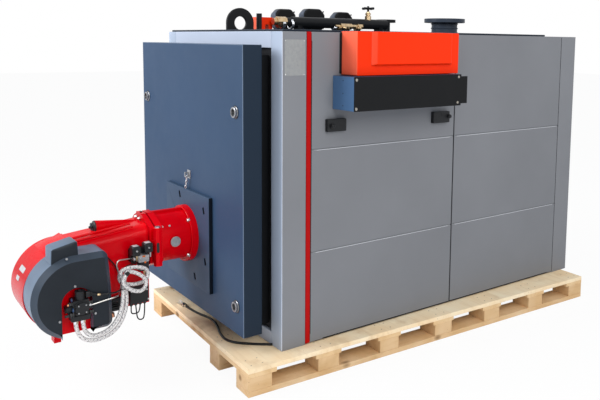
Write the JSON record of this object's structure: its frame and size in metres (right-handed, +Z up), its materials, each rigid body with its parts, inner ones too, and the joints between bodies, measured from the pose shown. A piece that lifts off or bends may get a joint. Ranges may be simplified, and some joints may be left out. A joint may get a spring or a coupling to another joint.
{
  "type": "industrial boiler",
  "caption": "Floor-standing industrial hot-water boiler on a timber pallet, with a sheet casing, a hinged front door, a forced-draught burner that swings out, and a side control unit.",
  "frame": {"origin": "bottom centre of the bounding box, on the floor under the pallet", "axes": "+Z up, -Y the burner and door side, +X the side that carries the control unit"},
  "size_m": [1.459, 3.2761, 1.799],
  "materials": {
    "black_cable": "smooth",
    "black_plastic": "matt",
    "black_steel": "satin",
    "box_blue": "satin",
    "braided_hose": "braided sleeve",
    "brass_fitting": "machined",
    "bright_steel": "zinc plated",
    "burner_red": "gloss enamel on cast aluminium",
    "cover_slate": "fine satin",
    "dark_steel": "satin",
    "door_blue": "satin powder coat",
    "grey_sheet": "satin powder coat",
    "orange_cover": "satin",
    "pale_sheet": "satin powder coat",
    "pale_timber": "rough sawn pine and board",
    "red_stripe": "gloss",
    "refractory": "matt fibre board",
    "vessel_grey": "matt primer"
  },
  "bodies": {
    "boiler": {"base_rails": "black_steel", "cable_box": "box_blue", "cable_box_plate": "black_steel", "control_unit": "orange_cover", "flow_nozzle": "dark_steel", "flue_collar": "dark_steel", "front_corner_trims": "grey_sheet", "front_cross_strips": "pale_sheet", "gland_plates": "black_plastic", "handwheel_valve": "black_steel", "hinge_brackets": "black_steel", "hinge_pins": "black_steel", "insulated_vessel": "vessel_grey", "junction_boxes": "black_plastic", "lifting_eye": "black_steel", "manifold_pipe": "black_steel", "pallet_blocks": "pale_timber", "pallet_cable": "black_cable", "pallet_cable_plug": "bright_steel", "pallet_cross_boards": "pale_timber", "pallet_deck": "pale_timber", "pallet_skids": "pale_timber", "pipe_fittings": "brass_fitting", "rear_corner_trims": "grey_sheet", "rear_panel": "grey_sheet", "relief_valve": "orange_cover", "side_panels_left": "grey_sheet", "side_panels_right": "grey_sheet", "stripes": "red_stripe", "stub_nozzles": "black_steel", "top_cover": "dark_steel", "top_panel": "grey_sheet"},
    "door": {"burner_neck": "burner_red", "burner_plate": "door_blue", "burner_tube": "dark_steel", "door_cover": "door_blue", "door_locks": "bright_steel", "door_staple": "bright_steel", "hinge_arms": "black_steel", "inner_door": "refractory", "swing_pin": "bright_steel"},
    "burner": {"air_cover": "cover_slate", "burner_housing": "burner_red", "burner_top_box": "cover_slate", "damper_drive": "black_plastic", "fan_motor": "cover_slate", "hose_coil": "braided_hose", "inlet_plate": "burner_red", "mixing_head": "bright_steel", "oil_hose_return": "braided_hose", "oil_hose_supply": "braided_hose", "oil_pipe": "bright_steel", "oil_pump": "black_plastic", "terminal_box": "black_plastic", "valve_block": "bright_steel"}
  },
  "joints": [
    {"name": "door_swing", "type": "hinge", "parent": "boiler", "child": "door", "pos_m": [-0.685, -0.6809, 0.89], "axis": [0, 0, -1], "range_deg": [0, 95]},
    {"name": "burner_swing", "type": "hinge", "parent": "door", "child": "burner", "pos_m": [0.081, -1.0369, 0.591], "axis": [0, 0, 1], "range_deg": [0, 70]}
  ]
}
